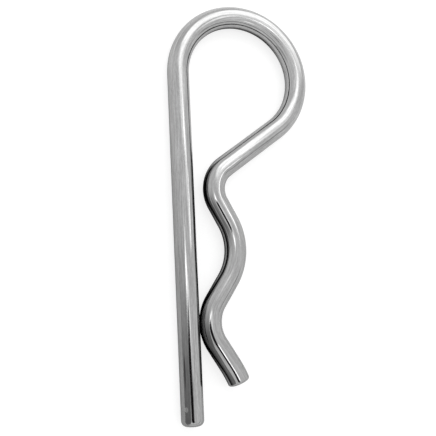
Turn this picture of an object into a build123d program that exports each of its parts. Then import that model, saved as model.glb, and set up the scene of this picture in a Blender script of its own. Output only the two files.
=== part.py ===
"""Hitch R clip: one length of round spring wire, bent in a single plane.

The straight leg goes through the cross hole of a shaft. The springy arm stays outside: its seat
curves round the shaft, the nip below it holds the clip on, and the flared tip leads it over.

The clip lies flat on the XY plane with the leg along Y, the loop at the +Y end and the arm on the
+X side of the leg. The origin is the middle of its outline, on the surface it lies on.
"""

import os
from math import cos, radians, sin

from build123d import *

os.makedirs("parts", exist_ok=True)

# Wire
wire_diameter = 4.0

# Straight leg, from its free end to the start of the loop
leg_length = 63.0

# Inside radii of the bends, in order along the wire
loop_inside_radius = 9.9
neck_inside_radius = 3.3
seat_inside_radius = 8.4
nip_inside_radius = 5.0
tip_inside_radius = 18.5

# Clear space between the leg and the crest of each bend that faces it
neck_gap = 1.9
seat_gap = 5.5
nip_gap = 0.06

# Lean of each straight run of the arm away from the leg's direction, in degrees
loop_to_neck_lean = 54.5
neck_to_seat_lean = 27.8
seat_to_nip_lean = 34.0
flare_lean = 31.5
tip_lean = 21.5

# Straight part of the flared end
flare_length = 4.4

# Worn edges at the two cut ends
leg_end_rounding = 1.0
tip_rounding = 0.5

# Centreline radii
wire_radius = wire_diameter / 2
loop_radius = loop_inside_radius + wire_radius
neck_radius = neck_inside_radius + wire_radius
seat_radius = seat_inside_radius + wire_radius
nip_radius = nip_inside_radius + wire_radius
tip_radius = tip_inside_radius + wire_radius

# Distance of each crest's centreline from the centreline of the leg
loop_crest = 2 * loop_radius
neck_crest = wire_diameter + neck_gap
seat_crest = wire_diameter + seat_gap
nip_crest = wire_diameter + nip_gap


def run_length(crest_step, radius_before, radius_after, lean):
    """Straight run that joins two opposite bends whose crests lie this far apart across the clip."""
    angle = radians(lean)
    taken_by_bends = (radius_before + radius_after) * (1 - cos(angle))
    return (crest_step - taken_by_bends) / sin(angle)


loop_to_neck_run = run_length(loop_crest - neck_crest, loop_radius, neck_radius, loop_to_neck_lean)
neck_to_seat_run = run_length(seat_crest - neck_crest, neck_radius, seat_radius, neck_to_seat_lean)
seat_to_nip_run = run_length(seat_crest - nip_crest, seat_radius, nip_radius, seat_to_nip_lean)

# The outline runs from the leg's outer side to the far side of the loop, and from the leg's free
# end to the top of the loop
overall_length = leg_length + loop_radius + wire_radius
leg_end = (-loop_radius, -overall_length / 2, wire_radius)

with BuildPart() as spring_wire:
    # Clockwise bends turn by negative angles
    with BuildLine(Plane(leg_end)) as centreline:
        leg = Line((0, 0), (0, leg_length))
        loop = JernArc(leg @ 1, leg % 1, loop_radius, -(180 + loop_to_neck_lean))
        to_neck = PolarLine(loop @ 1, loop_to_neck_run, direction=loop % 1)
        neck = JernArc(to_neck @ 1, to_neck % 1, neck_radius, loop_to_neck_lean + neck_to_seat_lean)
        to_seat = PolarLine(neck @ 1, neck_to_seat_run, direction=neck % 1)
        seat = JernArc(to_seat @ 1, to_seat % 1, seat_radius, -(neck_to_seat_lean + seat_to_nip_lean))
        to_nip = PolarLine(seat @ 1, seat_to_nip_run, direction=seat % 1)
        nip = JernArc(to_nip @ 1, to_nip % 1, nip_radius, seat_to_nip_lean + flare_lean)
        flare = PolarLine(nip @ 1, flare_length, direction=nip % 1)
        tip = JernArc(flare @ 1, flare % 1, tip_radius, tip_lean - flare_lean)

    with BuildSketch(Plane(origin=leg @ 0, z_dir=leg % 0)):
        Circle(wire_radius)
    sweep(path=centreline.wire())

    # Both ends are cut square. The leg's rim is rounded off well, and the tip's only has its edge broken
    cut_faces = spring_wire.faces().filter_by(GeomType.PLANE).sort_by(Axis.Y)
    fillet(cut_faces[0].edges(), leg_end_rounding)
    fillet(cut_faces[-1].edges(), tip_rounding)

spring_wire.part.label = "spring_wire"
export_step(spring_wire.part, "parts/spring_wire.step")
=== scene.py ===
"""Dresses the hitch R clip as bright drawn spring steel, on a pale floor in soft studio light.

The wire is swept along the same runs and bends as the CAD model, in the same frame, with a finer
surface, so that its reflections stay smooth and its grain can follow the wire round each bend.
"""

from math import ceil, cos, pi, radians, sin

import bpy
from mathutils import Matrix, Vector


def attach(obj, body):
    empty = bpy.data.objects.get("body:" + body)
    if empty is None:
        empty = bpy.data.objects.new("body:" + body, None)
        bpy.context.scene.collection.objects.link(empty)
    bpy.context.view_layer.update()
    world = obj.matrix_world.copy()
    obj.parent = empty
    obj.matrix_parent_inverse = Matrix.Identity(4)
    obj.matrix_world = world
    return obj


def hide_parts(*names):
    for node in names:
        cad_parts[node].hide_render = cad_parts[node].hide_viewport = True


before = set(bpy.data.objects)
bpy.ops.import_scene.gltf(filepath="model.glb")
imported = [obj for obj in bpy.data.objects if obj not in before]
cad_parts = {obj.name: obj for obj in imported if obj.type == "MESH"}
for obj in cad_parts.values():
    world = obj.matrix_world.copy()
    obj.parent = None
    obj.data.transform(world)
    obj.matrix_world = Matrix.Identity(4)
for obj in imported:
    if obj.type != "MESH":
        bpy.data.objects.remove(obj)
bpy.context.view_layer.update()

MM = 0.001

# Wire sizes, as in the CAD model
WIRE_RADIUS = 2.0 * MM
LEG_LENGTH = 63.0 * MM

# Centreline radii of the bends
LOOP_RADIUS = 9.9 * MM + WIRE_RADIUS
NECK_RADIUS = 3.3 * MM + WIRE_RADIUS
SEAT_RADIUS = 8.4 * MM + WIRE_RADIUS
NIP_RADIUS = 5.0 * MM + WIRE_RADIUS
TIP_RADIUS = 18.5 * MM + WIRE_RADIUS

# Distance of each crest's centreline from the leg's: a wire's thickness and the clear space
NECK_CREST = 2 * WIRE_RADIUS + 1.9 * MM
SEAT_CREST = 2 * WIRE_RADIUS + 5.5 * MM
NIP_CREST = 2 * WIRE_RADIUS + 0.06 * MM

# Lean of each straight run of the arm away from the leg's direction
LOOP_TO_NECK_LEAN = radians(54.5)
NECK_TO_SEAT_LEAN = radians(27.8)
SEAT_TO_NIP_LEAN = radians(34.0)
FLARE_LEAN = radians(31.5)
TIP_LEAN = radians(21.5)
FLARE_LENGTH = 4.4 * MM

# Rounded rims of the two cut ends
LEG_END_ROUNDING = 1.0 * MM
TIP_ROUNDING = 0.5 * MM

# Fineness of the wire's surface
FACES_AROUND = 96
FACE_LENGTH = 0.3 * MM
ROUNDING_STEPS = 10


def joining_run(crest_step, radius_before, radius_after, lean):
    """Length of the straight run between two opposite bends whose crests lie this far apart."""
    return (crest_step - (radius_before + radius_after) * (1 - cos(lean))) / sin(lean)


def wire_runs():
    """The wire from the leg's free end to the tip, as (length, turn) for each run and bend."""
    to_neck = joining_run(2 * LOOP_RADIUS - NECK_CREST, LOOP_RADIUS, NECK_RADIUS, LOOP_TO_NECK_LEAN)
    to_seat = joining_run(SEAT_CREST - NECK_CREST, NECK_RADIUS, SEAT_RADIUS, NECK_TO_SEAT_LEAN)
    to_nip = joining_run(SEAT_CREST - NIP_CREST, SEAT_RADIUS, NIP_RADIUS, SEAT_TO_NIP_LEAN)

    def bend(radius, turn):
        return radius * abs(turn), turn

    return [
        (LEG_LENGTH, 0),
        bend(LOOP_RADIUS, -(pi + LOOP_TO_NECK_LEAN)),
        (to_neck, 0),
        bend(NECK_RADIUS, LOOP_TO_NECK_LEAN + NECK_TO_SEAT_LEAN),
        (to_seat, 0),
        bend(SEAT_RADIUS, -(NECK_TO_SEAT_LEAN + SEAT_TO_NIP_LEAN)),
        (to_nip, 0),
        bend(NIP_RADIUS, SEAT_TO_NIP_LEAN + FLARE_LEAN),
        (FLARE_LENGTH, 0),
        bend(TIP_RADIUS, TIP_LEAN - FLARE_LEAN),
    ]


def wire_at(distance):
    """Centre of the wire and its heading, this far from the leg's free end.

    Heading 0 is +Y and grows anticlockwise.
    """
    overall_length = LEG_LENGTH + LOOP_RADIUS + WIRE_RADIUS
    centre, heading = Vector((-LOOP_RADIUS, -overall_length / 2, WIRE_RADIUS)), 0.0
    for length, turn in wire_runs():
        step = min(distance, length)
        if turn:
            curvature = turn / length
            end = heading + curvature * step
            centre += Vector((cos(end) - cos(heading), sin(end) - sin(heading), 0)) / curvature
            heading = end
        else:
            centre += Vector((-sin(heading), cos(heading), 0)) * step
        distance -= step
        if distance <= 0:
            break
    return centre, heading


def rounded_rim(rounding):
    """(distance from the cut face, wire's radius) of each ring from the face's rim to the full wire."""
    turns = [pi / 2 * (1 - step / ROUNDING_STEPS) for step in range(ROUNDING_STEPS + 1)]
    return [(rounding * (1 - sin(turn)), WIRE_RADIUS - rounding * (1 - cos(turn))) for turn in turns]


def wire_rings():
    """(distance from the leg's free end, radius) of each ring of the wire's surface."""
    distances, start = [], 0.0
    for length, _ in wire_runs():
        steps = ceil(length / FACE_LENGTH)
        distances += [start + length * step / steps for step in range(steps)]
        start += length
    body = [(distance, WIRE_RADIUS) for distance in distances
            if LEG_END_ROUNDING + FACE_LENGTH / 2 < distance < start - TIP_ROUNDING - FACE_LENGTH / 2]
    tip = [(start - distance, radius) for distance, radius in reversed(rounded_rim(TIP_ROUNDING))]
    return rounded_rim(LEG_END_ROUNDING) + body + tip


def build_wire():
    """The wire's surface: rings along the centreline, and a fan of faces over each cut end.

    Each point also keeps its place in the straightened wire, for the grain, and whether it is on a
    cut face.
    """
    vertices, grain, cut, faces = [], [], [], []

    def add_point(centre, heading, distance, radius, angle, on_cut_face):
        across, up = radius * cos(angle), radius * sin(angle)
        vertices.append(centre + Vector((cos(heading), sin(heading), 0)) * across + Vector((0, 0, up)))
        grain.extend((across, up, distance))
        cut.append(on_cut_face)

    rings = wire_rings()
    for number, (distance, radius) in enumerate(rings):
        centre, heading = wire_at(distance)
        for face in range(FACES_AROUND):
            angle = 2 * pi * face / FACES_AROUND
            add_point(centre, heading, distance, radius, angle, number in (0, len(rings) - 1))
    for ring in range(len(rings) - 1):
        here, there = ring * FACES_AROUND, (ring + 1) * FACES_AROUND
        for face in range(FACES_AROUND):
            following = (face + 1) % FACES_AROUND
            faces.append((here + face, here + following, there + following, there + face))
    for ring in (0, len(rings) - 1):
        distance = rings[ring][0]
        hub = len(vertices)
        add_point(*wire_at(distance), distance, 0.0, 0.0, True)
        rim = [ring * FACES_AROUND + face for face in range(FACES_AROUND)]
        for face in range(FACES_AROUND):
            pair = (rim[face], rim[(face + 1) % FACES_AROUND])
            faces.append((hub, *pair) if ring else (hub, *reversed(pair)))

    mesh = bpy.data.meshes.new("drawn_wire")
    mesh.from_pydata(vertices, [], faces)
    mesh.attributes.new("along_wire", "FLOAT_VECTOR", "POINT").data.foreach_set("vector", grain)
    mesh.attributes.new("cut_face", "FLOAT", "POINT").data.foreach_set("value", cut)
    mesh.shade_smooth()
    piece = bpy.data.objects.new("drawn_wire", mesh)
    bpy.context.scene.collection.objects.link(piece)
    return piece


# Share of the light that is left where one part of the wire mirrors another. A ray's count of
# reflections is a whole number, so the fall from one to two of them is a plain step.
SECOND_REFLECTION = 0.35
ONE_TO_TWO = (1.2, 1.8)

# Where a soft patch starts to fade and where it ends, as shares of its half size
PATCH_FADE = (0.3, 1.2)


class Nodes:
    """A node tree and short ways to add and join its nodes."""

    def __init__(self, tree):
        self.tree = tree

    def add(self, kind, operation=None, **inputs):
        """Adds a node. An input is a number, a vector or another node's output."""
        node = self.tree.nodes.new("ShaderNode" + kind)
        if operation:
            node.operation = operation
        for name, value in inputs.items():
            self.put(node, name.replace("_", " "), value)
        return node

    def put(self, node, name, value):
        """Sets an input, or joins an output to it. An input is named, or numbered as n0, n1 and so on."""
        socket = node.inputs[int(name[1:]) if name[0] == "n" and name[1:].isdigit() else name]
        if isinstance(value, bpy.types.NodeSocket):
            self.tree.links.new(value, socket)
        else:
            socket.default_value = value

    def math(self, operation, *values):
        """The result of a sum on numbers or other nodes' outputs."""
        node = self.add("Math", operation)
        for number, value in enumerate(values):
            self.put(node, f"n{number}", value)
        return node.outputs["Value"]

    def ramp(self, value, low, high, to_low=0.0, to_high=1.0):
        """A smooth step between two values."""
        node = self.add("MapRange")
        node.interpolation_type = "SMOOTHSTEP"
        for name, setting in (("Value", value), ("From Min", low), ("From Max", high),
                              ("To Min", to_low), ("To Max", to_high)):
            self.put(node, name, setting)
        return node.outputs["Result"]

    def noise(self, place, stretch, scale, detail):
        """Noise over a place in millimetres, stretched along the wire."""
        mapping = self.add("Mapping", Vector=place, Scale=(1 / MM, 1 / MM, 1 / (MM * stretch)))
        node = self.add("TexNoise", Vector=mapping.outputs["Vector"], Scale=scale, Detail=detail)
        return node.outputs["Fac"]

    def dimmed(self, level):
        """A light level, or a colour, dimmer where one part of the wire mirrors another. On a colour this
        is painted shade.
        """
        mirrored = self.add("LightPath").outputs["Glossy Depth"]
        return self.math("MULTIPLY", level, self.ramp(mirrored, *ONE_TO_TWO, 1.0, SECOND_REFLECTION))

    def patch(self, place, middle, half_size):
        """1 in the middle of a soft oval patch and 0 outside it."""
        offset = self.add("VectorMath", "SUBTRACT", n0=place, n1=middle)
        scaled = self.add("VectorMath", "DIVIDE", n0=offset.outputs["Vector"], n1=half_size)
        distance = self.add("VectorMath", "LENGTH", n0=scaled.outputs["Vector"])
        return self.ramp(distance.outputs["Value"], *PATCH_FADE, 1.0, 0.0)


# Patterns drawn out along the wire, as (stretch, scale, detail) of their noise
STREAKS = (20, 3.6, 2.0)
LINES = (40, 9.0, 2.0)
MOTTLING = (3, 4.0, 3.0)

# The steel's tone, and factors on it at the low and high ends of each pattern and on each mark
STEEL_TONE = 0.46
PATTERN_ENDS = (0.25, 0.75)
LINE_ENDS = (0.3, 0.7)
STREAK_TONES = (0.88, 1.12)
MOTTLING_TONES = (0.93, 1.07)
LINE_TONES = (0.94, 1.06)
SCUFF_TONE = 1.5
SCRATCH_TONE = 0.3
CUT_FACE_TONE = 0.75

# Its roughness, at the low and high ends of the streaks, and what is added on the dull places
ROUGH_ENDS = (0.2, 0.8)
STREAK_ROUGHNESS = (0.08 * 1.4, 0.08 * 0.7)
DULL_ROUGHNESS = 0.3

# Relief of the lines and streaks
LINE_RELIEF = 0.5
RELIEF_STRENGTH = 0.15
RELIEF_DEPTH = 0.02 * MM

# Two small marks near the leg's end: middle and half sizes, as across, up and along the wire
SCUFF_PLACE = (-1.46 * MM, 1.37 * MM, 3.0 * MM)
SCUFF_SIZE = (0.45 * MM, 0.45 * MM, 0.6 * MM)
SCRATCH_PLACE = (-1.46 * MM, 1.37 * MM, 9.3 * MM)
SCRATCH_SIZE = (0.17 * MM, 0.25 * MM, 3.6 * MM)


def spring_steel():
    """Bright steel with the fine lengthwise lines that the drawing die leaves."""
    material = bpy.data.materials.new("spring_steel")
    material.use_nodes = True
    steel = Nodes(material.node_tree)
    shader = material.node_tree.nodes["Principled BSDF"]
    shader.inputs["Metallic"].default_value = 1

    place = steel.add("Attribute")
    place.attribute_name = "along_wire"
    place = place.outputs["Vector"]
    streaks = steel.noise(place, *STREAKS)
    lines = steel.noise(place, *LINES)
    mottling = steel.noise(place, *MOTTLING)
    scuff = steel.patch(place, SCUFF_PLACE, SCUFF_SIZE)
    scratch = steel.patch(place, SCRATCH_PLACE, SCRATCH_SIZE)
    cut_face = steel.add("Attribute")
    cut_face.attribute_name = "cut_face"
    cut_face = cut_face.outputs["Fac"]

    tone = steel.ramp(streaks, *PATTERN_ENDS, *(STEEL_TONE * factor for factor in STREAK_TONES))
    tone = steel.math("MULTIPLY", tone, steel.ramp(mottling, *PATTERN_ENDS, *MOTTLING_TONES))
    tone = steel.math("MULTIPLY", tone, steel.ramp(lines, *LINE_ENDS, *LINE_TONES))
    for mask, factor in ((scuff, SCUFF_TONE), (scratch, SCRATCH_TONE), (cut_face, CUT_FACE_TONE)):
        tone = steel.math("MULTIPLY", tone, steel.ramp(mask, 0.0, 1.0, 1.0, factor))
    steel.put(shader, "Base Color", tone)
    rough = steel.ramp(streaks, *ROUGH_ENDS, *STREAK_ROUGHNESS)
    for dull in (cut_face, scuff):
        rough = steel.math("ADD", rough, steel.ramp(dull, 0.0, 1.0, 0.0, DULL_ROUGHNESS))
    steel.put(shader, "Roughness", rough)
    height = steel.math("ADD", steel.math("MULTIPLY", lines, LINE_RELIEF), streaks)
    bump = steel.add("Bump", Strength=RELIEF_STRENGTH, Distance=RELIEF_DEPTH, Height=height)
    steel.put(shader, "Normal", bump.outputs["Normal"])
    return material


wire = build_wire()
wire.data.materials.append(spring_steel())
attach(wire, "root")
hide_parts("spring_wire")


def card(name, centre, across, up, width, height, material):
    """A flat rectangle, centred on a point, whose width and height run in these directions."""
    mesh = bpy.data.meshes.new(name)
    w, h = width / 2, height / 2
    mesh.from_pydata([(-w, -h, 0), (w, -h, 0), (w, h, 0), (-w, h, 0)], [], [(0, 1, 2, 3)])
    mesh.materials.append(material)
    piece = bpy.data.objects.new(name, mesh)
    axes = (Vector(across), Vector(up), Vector(across).cross(Vector(up)))
    piece.matrix_world = Matrix.Translation(centre) @ Matrix(axes).transposed().to_4x4()
    bpy.context.scene.collection.objects.link(piece)
    return piece


FLOOR_SIZE = 3.0

# The floor's tone where the steel mirrors it: in the middle, its change with X and Y, and its limits. The
# change with X and Y is painted shade, darker towards -X and -Y, the camera's side.
FLOOR_TONE = 0.76
FLOOR_SHADE_SLOPE = (0.0015 / MM, 0.004 / MM, 0)
FLOOR_DARKEST = 0.45
FLOOR_LIGHTEST = 0.95

# Its tone and its glow where the camera sees it
FLOOR_SEEN_TONE = 0.35
FLOOR_SEEN_GLOW = 0.75

# How far from the wire the floor's colour carries painted shade, and how strongly in the open
SHADE_REACH = 3.0 * MM
OPEN_SHADE = 0.3

# The strip of floor between the leg and the arm, where little light gets in, so the painted shade is
# strongest
GAP_X = (-11.5 * MM, -1.0 * MM)
GAP_Y = (-40.0 * MM, 12.0 * MM)
GAP_EDGE = 3.0 * MM
GAP_SHADE = 4.5

# The floor under the loop's inner edge, with painted shade that is darker on the far side
LOOP_SHADE_PLACE = (2.5 * MM, 33.5 * MM, 0.0)
LOOP_SHADE_SIZE = (9.0 * MM, 5.5 * MM, 1.0)
LOOP_SHADE = 3.0


def floor_paper():
    """White paper, back-lit where the camera sees it, and greyer with painted shade where the steel
    mirrors it.
    """
    material = bpy.data.materials.new("floor_paper")
    material.use_nodes = True
    paper = Nodes(material.node_tree)
    shader = material.node_tree.nodes["Principled BSDF"]
    shader.inputs["Specular IOR Level"].default_value = 0.0
    shader.inputs["Emission Color"].default_value = (1, 1, 1, 1)
    seen = paper.add("LightPath").outputs["Is Camera Ray"]
    place = paper.add("TexCoord").outputs["Object"]
    # Painted shade: the floor's mirrored tone darkens towards -X and -Y, the camera's side
    slope = paper.add("VectorMath", "DOT_PRODUCT", n0=place, n1=FLOOR_SHADE_SLOPE)
    tone = paper.math("ADD", slope.outputs["Value"], FLOOR_TONE)
    tone = paper.math("MAXIMUM", paper.math("MINIMUM", tone, FLOOR_LIGHTEST), FLOOR_DARKEST)
    in_gap = 1.0
    spot = paper.add("SeparateXYZ", Vector=place)
    for axis, (low, high) in (("X", GAP_X), ("Y", GAP_Y)):
        middle, half = (low + high) / 2, (high - low) / 2
        from_middle = paper.math("ABSOLUTE", paper.math("SUBTRACT", spot.outputs[axis], middle))
        edge = paper.ramp(from_middle, half - GAP_EDGE / 2, half + GAP_EDGE / 2, 1.0, 0.0)
        in_gap = paper.math("MULTIPLY", in_gap, edge)
    # Painted shade: ambient occlusion darkens the floor's colour near the wire, most in the gap and under
    # the loop
    openness = paper.add("AmbientOcclusion", Distance=SHADE_REACH).outputs["AO"]
    shade = paper.ramp(in_gap, 0.0, 1.0, OPEN_SHADE, GAP_SHADE)
    in_loop = paper.patch(place, LOOP_SHADE_PLACE, LOOP_SHADE_SIZE)
    shade = paper.math("MAXIMUM", shade, paper.math("MULTIPLY", in_loop, LOOP_SHADE))
    tone = paper.math("MULTIPLY", tone, paper.math("POWER", openness, shade))
    # Painted shade: the floor's mirrored tone is dimmer where the wire mirrors it a second time
    reflected = paper.math("MULTIPLY", paper.dimmed(tone), paper.math("SUBTRACT", 1.0, seen))
    seen_tone = paper.math("MULTIPLY", seen, FLOOR_SEEN_TONE)
    paper.put(shader, "Base Color", paper.math("ADD", reflected, seen_tone))
    paper.put(shader, "Emission Strength", paper.math("MULTIPLY", seen, FLOOR_SEEN_GLOW))
    return material


card("floor", (0, 0, 0), (1, 0, 0), (0, 1, 0), FLOOR_SIZE, FLOOR_SIZE, floor_paper())


# How softly a panel comes and goes at the limits of the distances it is mirrored from
PANEL_FALLOFF = 2.0 * MM


def soft_panel(name, centre, across, up, size, softness, level, seen_from=None, falloff=PANEL_FALLOFF):
    """A glowing or dark rectangle with soft edges, which only shows as a reflection in the steel.

    Its edges fade over the softness to each side. Where seen_from gives a nearest and a farthest
    distance, the panel is only mirrored by steel between the two, and fades over the falloff.
    """
    width, height = size
    material = bpy.data.materials.new(name)
    material.use_nodes = True
    panel = Nodes(material.node_tree)
    panel.tree.nodes.clear()
    place = panel.add("SeparateXYZ", Vector=panel.add("TexCoord").outputs["Object"])
    opacity = 1.0
    for axis, length in (("X", width), ("Y", height)):
        from_middle = panel.math("ABSOLUTE", place.outputs[axis])
        edge = panel.ramp(from_middle, length / 2 - softness, length / 2 + softness, 1.0, 0.0)
        opacity = panel.math("MULTIPLY", opacity, edge)
    if seen_from:
        nearest, farthest = seen_from
        ray = panel.add("LightPath").outputs["Ray Length"]
        far_enough = panel.ramp(ray, nearest - falloff, nearest + falloff)
        opacity = panel.math("MULTIPLY", opacity, far_enough)
        near_enough = panel.ramp(ray, farthest - falloff, farthest + falloff, 1.0, 0.0)
        opacity = panel.math("MULTIPLY", opacity, near_enough)
    glow = panel.add("Emission", Strength=panel.dimmed(level))
    clear = panel.add("BsdfTransparent")
    mix = panel.add("MixShader", n0=opacity, n1=clear.outputs["BSDF"], n2=glow.outputs["Emission"])
    panel.add("OutputMaterial", Surface=mix.outputs["Shader"])
    piece = card(name, centre, across, up, width + 2 * softness, height + 2 * softness, material)
    piece.visible_camera = False
    piece.visible_diffuse = False
    piece.visible_shadow = False
    return piece


def direction(polar, azimuth):
    """Unit direction at a polar angle from straight up and an azimuth from +X, in degrees."""
    p, a = radians(polar), radians(azimuth)
    return Vector((sin(p) * cos(a), sin(p) * sin(a), cos(p)))


# The key panel: what it faces, the way to it from there, its turn about that way, and its size
KEY_AIM = Vector((-6, -2, 2)) * MM
KEY_TOWARDS = direction(49.3, 66.5)
KEY_DISTANCE = 400 * MM
KEY_ROLL = radians(44)
KEY_SIZE = (512 * MM, 290 * MM)
KEY_SOFTNESS = 75 * MM
KEY_LEVEL = 2.2


def key_panel():
    """The large soft panel that lights the clip from behind and to the right."""
    level_axis = Vector((0, 0, 1)).cross(KEY_TOWARDS).normalized()
    upper_axis = KEY_TOWARDS.cross(level_axis)
    across = level_axis * cos(KEY_ROLL) + upper_axis * sin(KEY_ROLL)
    up = upper_axis * cos(KEY_ROLL) - level_axis * sin(KEY_ROLL)
    centre = KEY_AIM + KEY_TOWARDS * KEY_DISTANCE
    panel = soft_panel("key_panel", centre, across, up, KEY_SIZE, KEY_SOFTNESS, KEY_LEVEL)
    panel.visible_diffuse = True
    return panel


def in_metres(millimetres):
    """Lengths given in millimetres, in metres."""
    return [length * MM for length in millimetres]


def overhead_panel(name, place, size, turn, softness, level, seen_from=None, falloff=PANEL_FALLOFF / MM):
    """A level panel over the clip, in millimetres, whose width is turned from +X by degrees."""
    a = radians(turn)
    reach = in_metres(seen_from) if seen_from else None
    return soft_panel(name, in_metres(place), (cos(a), sin(a), 0), (-sin(a), cos(a), 0),
                      in_metres(size), softness * MM, level, reach, falloff * MM)


# Lights beside the key panel, which shape its edges in the loop and the leg
key_panel()
overhead_panel("key_edge", place=(24, 41, 96), size=(72, 7), turn=-17, softness=20, level=2.9,
               seen_from=(99, 400))
overhead_panel("key_corner", place=(0, 34, 67), size=(96, 4), turn=-39, softness=11, level=1.5)
overhead_panel("key_side", place=(48, 63, 120), size=(50, 12), turn=-5, softness=9, level=2.3,
               seen_from=(0, 126))
overhead_panel("key_spot", place=(15, 32, 67), size=(13, 11), turn=-20, softness=5, level=3.0)

# Lights for the bright lines of the neck and seat, the leg, the gap and the flare
overhead_panel("neck_glint", place=(16.8, 4.6, 30), size=(18, 5.0), turn=-97, softness=1.5, level=2.9,
               seen_from=(32.5, 40), falloff=1)
overhead_panel("leg_glint", place=(8.5, 4.5, 30), size=(19, 6), turn=90, softness=2, level=1.7,
               seen_from=(31.5, 39), falloff=1)
overhead_panel("lens_gap", place=(-41, -16, 120.5), size=(54, 19.5), turn=-34, softness=16, level=4.2,
               seen_from=(0, 127.5))
overhead_panel("flare_glint", place=(-5.05, -30.7, 14), size=(8.0, 1.3), turn=-56.5, softness=0.8,
               level=3.6, seen_from=(0, 10.7), falloff=0.2)

# Dark panels: the camera's body, and a grey flag that stands on the leg's side
overhead_panel("camera_body", place=(-38.2, -57, 120), size=(86, 57), turn=-64, softness=10, level=0.005,
               seen_from=(0, 136))
soft_panel("grey_flag", in_metres((-50, -54.5, 10.6)), (0, 1, 0), (0, 0, 1), in_metres((80, 150)),
           softness=36 * MM, level=0.19, seen_from=in_metres((0, 76)))

# The walls' light, with a thin darker band low on the -Y side. Heights and sides are shares of the
# unit direction towards a place on the wall.
WORLD_LEVEL = 0.86
SEAM_HEIGHT = 0.43
SEAM_WIDTH = 0.07
SEAM_LEVEL = 0.27
SEAM_SIDE = (-0.3, 0.0)

world = bpy.data.worlds.new("studio")
bpy.context.scene.world = world
world.use_nodes = True
walls = Nodes(world.node_tree)
background = world.node_tree.nodes["Background"]
background.inputs["Color"].default_value = (1, 1, 1, 1)
towards = walls.add("SeparateXYZ", Vector=walls.add("TexCoord").outputs["Generated"])
from_seam = walls.math("ABSOLUTE", walls.math("SUBTRACT", towards.outputs["Z"], SEAM_HEIGHT))
seam = walls.ramp(from_seam, SEAM_WIDTH / 4, SEAM_WIDTH, 1.0, 0.0)
seam = walls.math("MULTIPLY", seam, walls.ramp(towards.outputs["Y"], *SEAM_SIDE, 1.0, 0.0))
light = walls.dimmed(walls.ramp(seam, 0.0, 1.0, WORLD_LEVEL, SEAM_LEVEL))
seen = walls.add("LightPath").outputs["Is Camera Ray"]
walls.put(background, "Strength", walls.math("MAXIMUM", light, seen))

# Camera, where the photograph was taken from
CAMERA_PLACE = Vector((-48.31, -19.28, 120.69)) * MM
CAMERA_RIGHT = Vector((0.941676, -0.048399, 0.333024))
CAMERA_UP = Vector((0.000640, 0.989860, 0.142049))
LENS = 57.798
CLIP_START = 5 * MM

camera_data = bpy.data.cameras.new("camera")
camera_data.lens = LENS
camera_data.clip_start = CLIP_START
camera = bpy.data.objects.new("camera", camera_data)
camera_axes = Matrix((CAMERA_RIGHT, CAMERA_UP, CAMERA_RIGHT.cross(CAMERA_UP))).transposed()
camera.matrix_world = Matrix.Translation(CAMERA_PLACE) @ camera_axes.to_4x4()
bpy.context.scene.collection.objects.link(camera)
bpy.context.scene.camera = camera
bpy.context.scene.view_settings.view_transform = "Standard"
